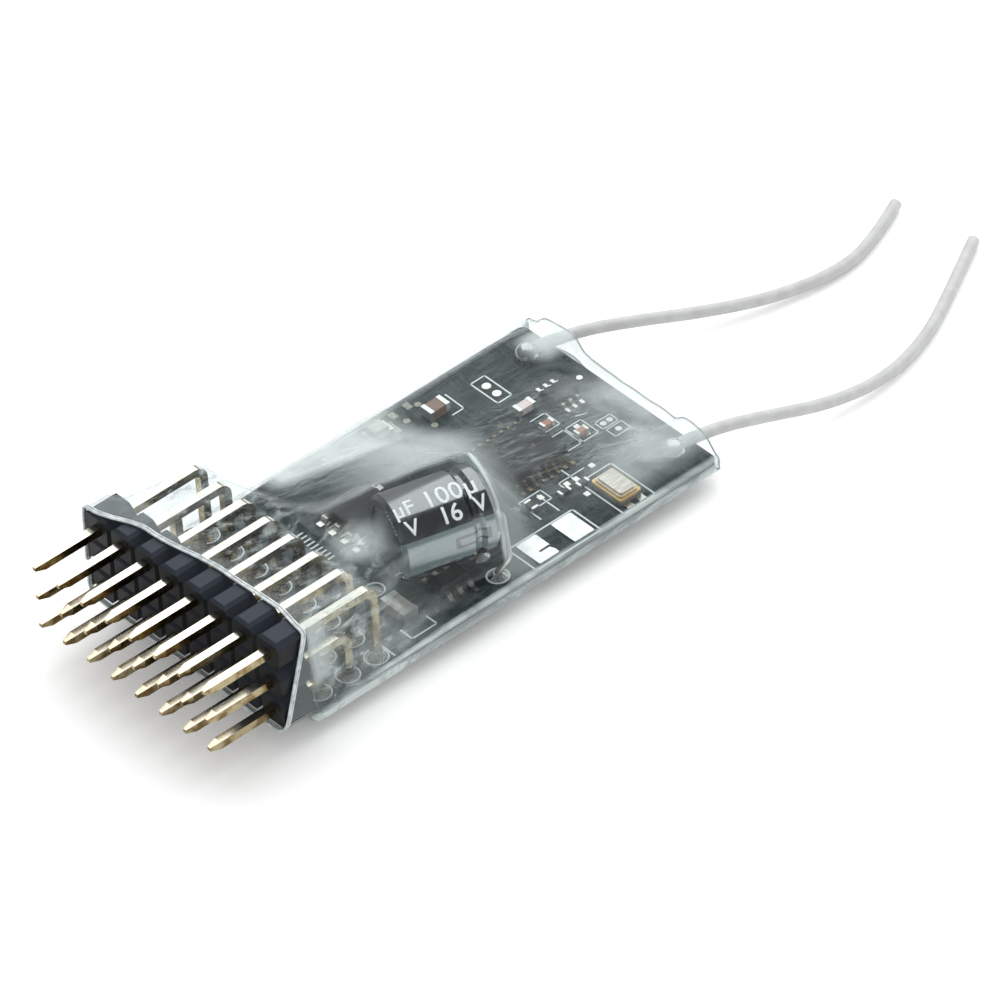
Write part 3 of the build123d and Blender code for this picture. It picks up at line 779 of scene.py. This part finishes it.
def board_print():
    work = FlatWork("board_legend", white_print, "board_mask", rise=0.015)
    # frames round the crystal and the jumper pads
    work.frame(5.25, 36.4, 9.9, 39.3)
    work.frame(7.0, 28.3, 10.0, 34.2)
    # lines round the supply capacitor and beside the last pin
    work.line((8.07, 17.7), (9.25, 17.7))
    work.line((9.25, 17.7), (9.25, 19.9))
    work.line((8.2, 19.9), (9.25, 19.9))
    work.line((8.13, 15.75), (9.65, 15.75), broad_line)
    # a frame round the two bare discs, and a corner round the left chip capacitor
    work.frame(-8.0, 38.0, -5.1, 39.3, fine_line)
    work.line((-8.4, 36.05), (-6.4, 36.0), fine_line)
    work.line((-6.4, 36.0), (-6.4, 35.0), fine_line)
    # marks of the small parts at the far end
    work.frame(0.3, 38.0, 2.2, 39.3, thin_line)
    work.frame(0.3, 39.45, 2.2, 40.9, thin_line)
    work.frame(-2.0, 38.2, -0.4, 39.6, thin_line)
    work.line((-0.2, 40.9), (0.1, 41.6), thin_line)
    work.frame(1.3, 41.3, 2.2, 42.7, thin_line)
    work.frame(2.4, 41.4, 3.4, 42.8, thin_line)
    # marks between the radio chip and the jumper pads
    work.frame(3.9, 32.0, 5.1, 34.0, thin_line)
    work.line((4.3, 35.3), (5.2, 35.3), thin_line)
    work.line((4.3, 35.3), (4.3, 37.6), thin_line)
    work.line((3.4, 36.4), (5.0, 36.4), fine_line)
    work.line((4.2, 33.5), (6.4, 33.5), fine_line)
    work.line((4.2, 32.0), (6.2, 32.0), fine_line)
    # rings beside the pins and along the left edge
    work.ring(3.6, 19.2, 0.62, 0.75)
    work.ring(-9.3, 26.0, 0.45, 0.6)
    work.ring(-9.5, 24.0, 0.4, 0.52)
    # ticks along the control chip's two sides
    for index in range(9):
        tick = index * tick_pitch
        work.line((-4.3 + tick, 21.2), (-4.3 + tick, 21.7))
        work.line((-4.4 + tick, 18.9), (-4.4 + tick, 19.5))
    # rings round the capacitor's seen lead and round the pins
    work.ring(*lead_pads[0], 0.72, 0.86)
    for column in range(8):
        for row in pad_rows:
            work.ring((column - 3.5) * pin_pitch, row, 0.78, 0.9)
    work.done()


def bare_pads():
    """Tinned pads at the far end and beside the capacitor."""
    work = FlatWork("bare_pads", tin, "solder", rise=0.03)
    for x, distance in ((9.35, 38.35), (9.35, 37.25)):
        work.bar(x, distance, 0.75, 0.6)
    for x in (-7.05, -5.95):
        work.disc(x, 38.65, 0.34)
    for x, distance in ((1.75, 41.7), (1.75, 42.3), (2.9, 42.1), (-3.1, 43.8)):
        work.disc(x, distance, 0.24)
    square_pads = [(4.5, 32.4), (4.5, 33.5), (4.75, 35.7), (4.8, 36.5)]
    square_pads += [(6.5, 36.0), (4.5, 38.2), (0.7, 40.2), (1.75, 40.2)]
    for x, distance in square_pads:
        work.bar(x, distance, 0.45, 0.4)
    for x, distance in ((7.25, 20.5), (8.25, 20.75), (7.7, 21.4), (8.1, 23.2), (8.45, 24.1)):
        work.bar(x, distance, 0.4, 0.26)
    work.done()


def dull_pads():
    """Dull pads and test points under the milky film by the left edge."""
    work = FlatWork("dull_pads", dull_tin, "solder", rise=0.02)
    for x, distance in ((-9.3, 32.0), (-8.7, 31.2), (-9.4, 33.4), (-8.9, 29.0), (-9.2, 30.3), (-8.0, 31.2)):
        work.bar(x, distance, 0.7, 0.5)
    for x, distance in ((-9.0, 34.0), (-6.5, 33.4), (-8.2, 32.3), (-8.6, 30.2)):
        work.disc(x, distance, 0.26)
    work.done()


def pad_mark():
    """The bent mark on the first jumper pad."""
    work = FlatWork("jumper_mark", mark_dark, "board_mask", rise=0.01, base=high("jumper_pads").z)
    work.line((8.75, 29.75), (8.75, 30.55), 0.17)
    work.line((8.75, 30.55), (9.15, 30.7), 0.15)
    work.done()


def via_marks():
    """Dark vias beside the jumper pads, past the crystal and along the left edge."""
    work = FlatWork("via_marks", mark_dark, "board_mask", rise=0.008)
    for x, distance in ((7.7, 34.75), (8.25, 34.75), (8.8, 34.75), (9.35, 34.75)):
        work.disc(x, distance, 0.15, 10)
    for x, distance in ((8.7, 40.1), (9.2, 40.1), (9.7, 40.1)):
        work.disc(x, distance, 0.15, 10)
    for index in range(11):
        work.disc(-9.7, 28.0 + index * edge_via_pitch, 0.1, 8)
    work.done()


board_print()
bare_pads()
dull_pads()
pad_mark()
via_marks()


# Figures on the capacitor: generic numbers laid round the jacket
letter_gap = 0.008
letter_rise = 0.012
letter_widening = 0.02


def jacket_text(name, words, size, angle, along, spacing=1.0):
    """Flat letters bent round the can. The angle is from straight up, towards the can's side."""
    clear_selection()
    bpy.ops.object.text_add(location=(0, 0, 0))
    piece = bpy.context.object
    piece.name = name
    piece.data.body = words
    piece.data.size = size * MM
    piece.data.align_x = "CENTER"
    piece.data.align_y = "CENTER"
    piece.data.offset = letter_widening * MM
    piece.data.resolution_u = 4
    piece.data.space_character = spacing
    bpy.ops.object.convert(target="MESH")
    piece = bpy.context.object
    bpy.ops.object.mode_set(mode="EDIT")
    bpy.ops.mesh.select_all(action="SELECT")
    bpy.ops.mesh.subdivide(number_cuts=4)
    bpy.ops.mesh.extrude_region_move(TRANSFORM_OT_translate={"value": (0, 0, letter_rise * MM)})
    bpy.ops.object.mode_set(mode="OBJECT")
    radius = can_radius + letter_gap
    for vertex in piece.data.vertices:
        u, v, w = vertex.co / MM
        # the words run along the can, and the tops of the letters point up round it
        turn = math.radians(angle) - v / radius
        reach = radius + w
        side = can_side * (reach * math.sin(turn))
        lift = Vector((0, 0, reach * math.cos(turn)))
        vertex.co = (can_centre + can_axis * (along + u) + side + lift) * MM
    dress(piece, jacket_print)
    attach(piece, "root")


jacket_text("jacket_figures_top", "100\u00b5", size=1.95, angle=18, along=0.9, spacing=1.02)
jacket_text("jacket_figures_top_near", "\u00b5F", size=1.6, angle=19, along=-2.6)
jacket_text("jacket_figures_low", "16", size=1.75, angle=45, along=0.35, spacing=0.95)
jacket_text("jacket_figures_low_far", "V", size=1.6, angle=45, along=2.6)
jacket_text("jacket_figures_low_near", "V", size=1.6, angle=46, along=-2.5)


# Clear sleeve: one sheet laid over what stands under it, shaped point by point
film_gap = 0.06
film_wall = 0.2
edge_x = (sleeve_high.x - sleeve_low.x) / 2 - film_wall
pin_edge_x = pin_half + film_gap
bend_radius = 0.75
pin_crest = pin_back - pin_side / 2 - bend_radius
header_rise = header_high.z + film_gap - board_top
pin_clearance = 0.12
pins_rise = pin_top + pin_clearance - board_top
can_height = can_centre.z - board_top
can_clearance = 0.25
# between the pins the film dips, and behind them it comes down to the board
pin_drop = 0.5
dip_depth = 0.35
behind_pins_run = 6.7
# the taut flank starts beside the capacitor's crest and reaches the board's left side
flank_start = 1.6
flank_run = 10.4
# how far past the capacitor's end the film folds down, and the runs of its two ends
fold_along = 0.15
fold_run = 5
near_end_run = 5
# the thin space over the small parts
layer_height = 1.3
layer_side_run = 1.6
film_end_run = 4.0
film_end_height = 0.35
lump_height = 1.2
# under the board
stub_room = 1.5
floor_slope = 0.17
# the two open ends, and how the sheet is smoothed and wrinkled
mouth_margin = 0.25
far_margin = 0.05
relax_rounds = 4
relax_share = 0.6
ripple_height = 0.09
fold_height = 0.07


def sag(share):
    return max(0.0, share) ** 1.7


def smooth(value, start, end):
    share = min(1.0, max(0.0, (value - start) / (end - start)))
    return share * share * (3 - 2 * share)


def layer(x, y):
    """The thin space over the small parts, which closes towards the far end."""
    slope = max(0.0, abs(x) - (edge_x - layer_side_run)) / layer_side_run
    level = layer_height * (1 - 0.9 * slope)
    down = smooth(y, board_high.y - film_end_run, board_high.y)
    end_level = min(level, max(film_end_height, antenna_lump(x)))
    return level + (end_level - level) * down


def antenna_lump(x):
    """Room over the two antenna joints."""
    lumps = []
    for route in (left_route, right_route):
        middle = (route[0][0] + route[1][0]) / 2
        slope = smooth(abs(x - middle), 1.1, 3.0)
        lumps.append(lump_height * (1 - slope))
    return max(lumps)


def can_tent(x, y, behind_pins):
    """The film over the capacitor, which joins the film behind the pins."""
    point = Vector((x, y, 0)) - Vector((can_far_end.x, can_far_end.y, 0))
    along = point.dot(can_axis)
    aside = point.dot(can_side)
    radius = can_radius + can_clearance
    if aside < 0:
        crest = can_height + radius
        lateral = max(0.0, 1 - max(0.0, -aside - flank_start) / flank_run) ** 1.05
    else:
        shoulder = radius * 0.85
        crest = can_height + math.sqrt(radius**2 - min(aside, shoulder) ** 2)
        reach = 0.85 + 3.65 * smooth(-along, 1.5, can_length)
        lateral = sag(1 - max(0.0, aside - shoulder) / reach)
    ahead = max(0.0, along - fold_along)
    behind = min(1.0, max(0.0, -along - can_length) / near_end_run)
    span = behind_pins + (pins_rise - behind_pins) * lateral
    edge_share = min(1.0, (edge_x - abs(x)) / (edge_x - pin_edge_x) + 0.05)
    tent = crest * lateral * (1 - behind) + span * behind
    return tent * sag(1 - ahead / fold_run) * edge_share


def film_rise(x, y):
    """Height of the film's inner face above the board."""
    beside_pins = 1 - max(0.0, abs(x) - pin_edge_x) / (edge_x - pin_edge_x)
    # between the pins the film dips a little
    dip = 0.5 - 0.5 * math.cos(2 * math.pi * (x / pin_pitch + 0.5))
    inside = smooth(pin_edge_x - abs(x), 0, 1)
    if y <= header_high.y + film_gap:
        return header_rise
    if y <= pin_crest:
        share = (y - header_high.y) / (pin_crest - header_high.y)
        level = header_rise + (pins_rise - header_rise) * share
        level -= dip_depth * dip * inside * math.sin(math.pi * min(1.0, share * 0.6))
        return max(level * beside_pins, 0.0)
    if y <= pin_back + film_gap:
        share = (y - pin_crest) / (pin_back + film_gap - pin_crest)
        return max((pins_rise - pin_drop * share - dip_depth * dip * inside) * beside_pins, 0.0)
    beyond = y - pin_back - film_gap
    behind_pins = (pins_rise - pin_drop) * sag(1 - beyond / behind_pins_run)
    behind_pins -= dip_depth * dip * inside * max(0.0, 1 - beyond / 3)
    return max(behind_pins * beside_pins, can_tent(x, y, behind_pins), layer(x, y))


def film_floor(y):
    """Height of the film's inner face under the board."""
    board_face = board_low.z - film_gap
    last_stub = front_y + lead_pads[1][1] + stub_room
    if y <= header_high.y:
        return header_low.z - film_gap
    first_pad = front_y + pad_rows[0] - pad_radius
    if y <= first_pad:
        share = (y - header_high.y) / (first_pad - header_high.y)
        return board_face + (film_wall - board_face) * share
    if y <= last_stub:
        return film_wall
    return min(board_face, film_wall + (y - last_stub) * floor_slope)


# How far the two rims are drawn in, against the share of the way from the middle to a side
mouth_rim = [(-1.3, 0.1), (-0.95, 0.25), (-0.5, 1.6), (0.2, 2.5), (0.7, 2.7), (1.0, 2.3), (1.3, 2.0)]
far_rim = [(-1.3, 0.6), (-0.95, 0.45), (-0.6, 0.1), (-0.3, 0.4), (0.0, 0.5)]
far_rim += [(0.35, 0.42), (0.7, 0.6), (1.0, 1.0), (1.3, 1.3)]


def along_table(table, share):
    """A value from a table of steps, smooth between them."""
    for (a, start), (b, end) in zip(table, table[1:]):
        if share <= b:
            return start + (end - start) * smooth(share, a, b)
    return table[-1][1]


def mouth_y(x, z):
    back = along_table(mouth_rim, x / header_high.x)
    share = (z - header_low.z) / (header_high.z - header_low.z)
    return header_low.y - mouth_margin + back * min(1.0, max(0.0, share))


def far_y(x, z):
    wobble = 0.1 * noise.noise(Vector((x * 0.6, z * 0.8, 3.1)))
    return sleeve_high.y - far_margin - along_table(far_rim, x / header_high.x) + wobble


# shares of the way round that the top and half of each side take
top_share = 0.62
side_share = 0.05
columns_round = 176
rows_along = 210


def section_point(turn, y):
    """The film's inner face at a share of the way round, from the left edge over the top."""
    foot = max(film_floor(y), board_low.z - film_gap)
    floor_face = film_floor(y)
    pinch = edge_x - 0.2 - 0.5 * (foot - floor_face)
    if turn <= top_share:
        x = -edge_x + 2 * edge_x * turn / top_share
        return x, board_top + film_rise(x, y)
    turn -= top_share
    right_top = board_top + film_rise(edge_x, y)
    if turn <= side_share * 2:
        share = turn / (side_share * 2)
        return edge_x, right_top + (foot - right_top) * share
    turn -= side_share * 2
    floor_part = 1 - top_share - 4 * side_share
    if turn <= floor_part:
        share = turn / floor_part
        return pinch - 2 * pinch * share, floor_face
    turn -= floor_part
    share = turn / (side_share * 2)
    left_top = board_top + film_rise(-edge_x, y)
    return -edge_x, foot + (left_top - foot) * share


def shrink_film():
    """A flat grid whose points are laid round the section, row by row, and joined at the seam."""
    clear_selection()
    bpy.ops.mesh.primitive_grid_add(x_subdivisions=columns_round, y_subdivisions=rows_along, size=1)
    piece = bpy.context.object
    piece.name = "clear_sleeve"
    points = []
    for row in range(rows_along + 1):
        share = row / rows_along
        ring = []
        for column in range(columns_round):
            turn = column / columns_round
            start = mouth_y(*section_point(turn, header_low.y))
            end = far_y(*section_point(turn, board_high.y))
            y = start + (end - start) * share
            x, z = section_point(turn, y)
            ring.append(Vector((x, y, z)))
        points.append(ring)
    points = relaxed(points)
    for index, vertex in enumerate(piece.data.vertices):
        row, column = divmod(index, columns_round + 1)
        vertex.co = points[row][column % columns_round] * MM
    wrinkled(piece)
    mouth = [piece.data.vertices[column].co / MM for column in range(columns_round)]
    first_far = rows_along * (columns_round + 1)
    far = [piece.data.vertices[first_far + column].co / MM for column in range(columns_round)]
    bpy.ops.object.mode_set(mode="EDIT")
    bpy.ops.mesh.select_all(action="SELECT")
    bpy.ops.mesh.remove_doubles(threshold=0.001 * MM)
    bpy.ops.mesh.normals_make_consistent(inside=False)
    bpy.ops.object.mode_set(mode="OBJECT")
    return piece, mouth, far


def relaxed(points):
    """Rounds the folds of the sheet. Each point keeps its place along the sleeve."""
    count = columns_round
    for _ in range(relax_rounds):
        fresh = []
        for row, ring in enumerate(points):
            before = points[max(0, row - 1)]
            after = points[min(len(points) - 1, row + 1)]
            new_ring = []
            for column, point in enumerate(ring):
                beside = (ring[column - 1] + ring[(column + 1) % count]) / 2
                along = (before[column] + after[column]) / 2
                level = point.lerp((beside + along) / 2, relax_share)
                new_ring.append(Vector((level.x, point.y, level.z)))
            fresh.append(new_ring)
        points = fresh
    return points


def wrinkled(piece):
    """Small ripples and folds in what stands over the board, past the header."""
    for vertex in piece.data.vertices:
        x, y, z = vertex.co / MM
        over_board = smooth(z, board_top + 0.5, board_top + 1.0)
        ripple = noise.noise(Vector((x * 0.9, y * 0.28, z * 0.5)))
        fold = noise.noise(Vector((x * 0.35 + y * 0.5, y * 0.2 - x * 0.4, 7.0)))
        past_header = smooth(y, header_high.y, header_high.y + 2)
        lift = ripple_height * ripple + fold_height * fold
        vertex.co.z += lift * over_board * past_header * MM


def rim_tube(name, row, radius, shift, material):
    """A thin round edge that follows a row of the sheet's points, moved along Y by a shift."""
    count = len(row)
    curve = bpy.data.curves.new(name, "CURVE")
    curve.dimensions = "3D"
    curve.bevel_depth = radius * MM
    curve.bevel_resolution = 1
    spline = curve.splines.new("POLY")
    spline.use_cyclic_u = True
    spline.points.add(count - 1)
    for index, spline_point in enumerate(spline.points):
        ahead = row[(index + 1) % count] - row[index - 1]
        out = Vector((ahead.z, 0, -ahead.x)).normalized() * (-film_wall / 2)
        place = row[index] + out + Vector((0, shift, 0))
        spline_point.co = (*(place * MM), 1)
    piece = bpy.data.objects.new(name, curve)
    bpy.context.collection.objects.link(piece)
    clear_selection()
    piece.select_set(True)
    bpy.context.view_layer.objects.active = piece
    bpy.ops.object.convert(target="MESH")
    piece = bpy.context.object
    dress(piece, material)
    bpy.ops.object.shade_smooth()
    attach(piece, "root")


def finish_sleeve():
    piece, mouth, far = shrink_film()
    rim_tube("film_mouth_edge", mouth, radius=0.11, shift=0.08, material=rim_white)
    rim_tube("film_mouth_fold", mouth, radius=0.08, shift=0.3, material=rim_white)
    rim_tube("film_far_edge", far, radius=0.05, shift=-0.06, material=rim_grey)
    clear_selection()
    piece.select_set(True)
    bpy.context.view_layer.objects.active = piece
    wall = piece.modifiers.new("wall", "SOLIDIFY")
    wall.thickness = film_wall * 0.8 * MM
    wall.offset = 1
    wall.use_even_offset = False
    wall.material_offset_rim = 1
    bpy.ops.object.modifier_apply(modifier="wall")
    dress(piece, film_finish(), rim_white)
    bpy.ops.object.shade_smooth_by_angle(angle=math.radians(50))
    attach(piece, "root")
    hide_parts("shrink_sleeve")


finish_sleeve()


# Floor, lamp and world
floor_width = 3000
floor_drop = 0.05
floor_glow = 0.14
lamp_place = (-377, 479, 792)
lamp_width = 1500
lamp_power = 10.0
world_light = 0.79
room_light = 0.11


def floor():
    clear_selection()
    bpy.ops.mesh.primitive_plane_add(size=floor_width * MM, location=(0, 0, -floor_drop * MM))
    piece = bpy.context.object
    piece.name = "floor"
    paint = Paint("pale_floor")
    vector, _ = paint.place()
    speck = paint.grain(vector, 0.02, 2)
    pale = paint.blend(speck, (0.93, 0.93, 0.935), (0.95, 0.95, 0.95))
    paint.set(colour=pale, rough=0.9, specular=0.1)
    # a little light of its own, for the camera alone, keeps the floor white round the shadow
    seen = paint.node("ShaderNodeLightPath", {}, {}, "Is Camera Ray")
    paint.feed(paint.shader.inputs["Emission Color"], seen)
    paint.feed(paint.shader.inputs["Emission Strength"], floor_glow)
    dress(piece, paint.material)


def softbox():
    """One large lamp, high beyond the far left corner, that looks at the frame's origin."""
    place = Vector(lamp_place) * MM
    bpy.ops.object.light_add(type="AREA", location=place)
    light = bpy.context.object
    light.name = "softbox"
    light.data.shape = "SQUARE"
    light.data.size = lamp_width * MM
    light.data.energy = lamp_power
    light.data.color = (1, 1, 1)
    light.rotation_euler = (-place).to_track_quat("-Z", "Y").to_euler()


def world():
    """White to the camera, even as a light, and a dim room in reflections."""
    sky = bpy.data.worlds.new("studio")
    bpy.context.scene.world = sky
    sky.use_nodes = True
    studio = NodeTree(sky.node_tree)
    back = sky.node_tree.nodes["Background"]
    glossy = studio.node("ShaderNodeLightPath", {}, {}, "Is Glossy Ray")
    light = studio.node("ShaderNodeMix", {}, {0: glossy, 2: world_light, 3: room_light})
    camera = studio.node("ShaderNodeLightPath", {}, {}, "Is Camera Ray")
    white = studio.node("ShaderNodeMix", {}, {0: camera, 2: light, 3: 1.0})
    studio.feed(back.inputs["Color"], (1, 1, 1, 1))
    studio.feed(back.inputs["Strength"], white)


floor()
softbox()
world()
bpy.context.scene.view_settings.view_transform = "Standard"
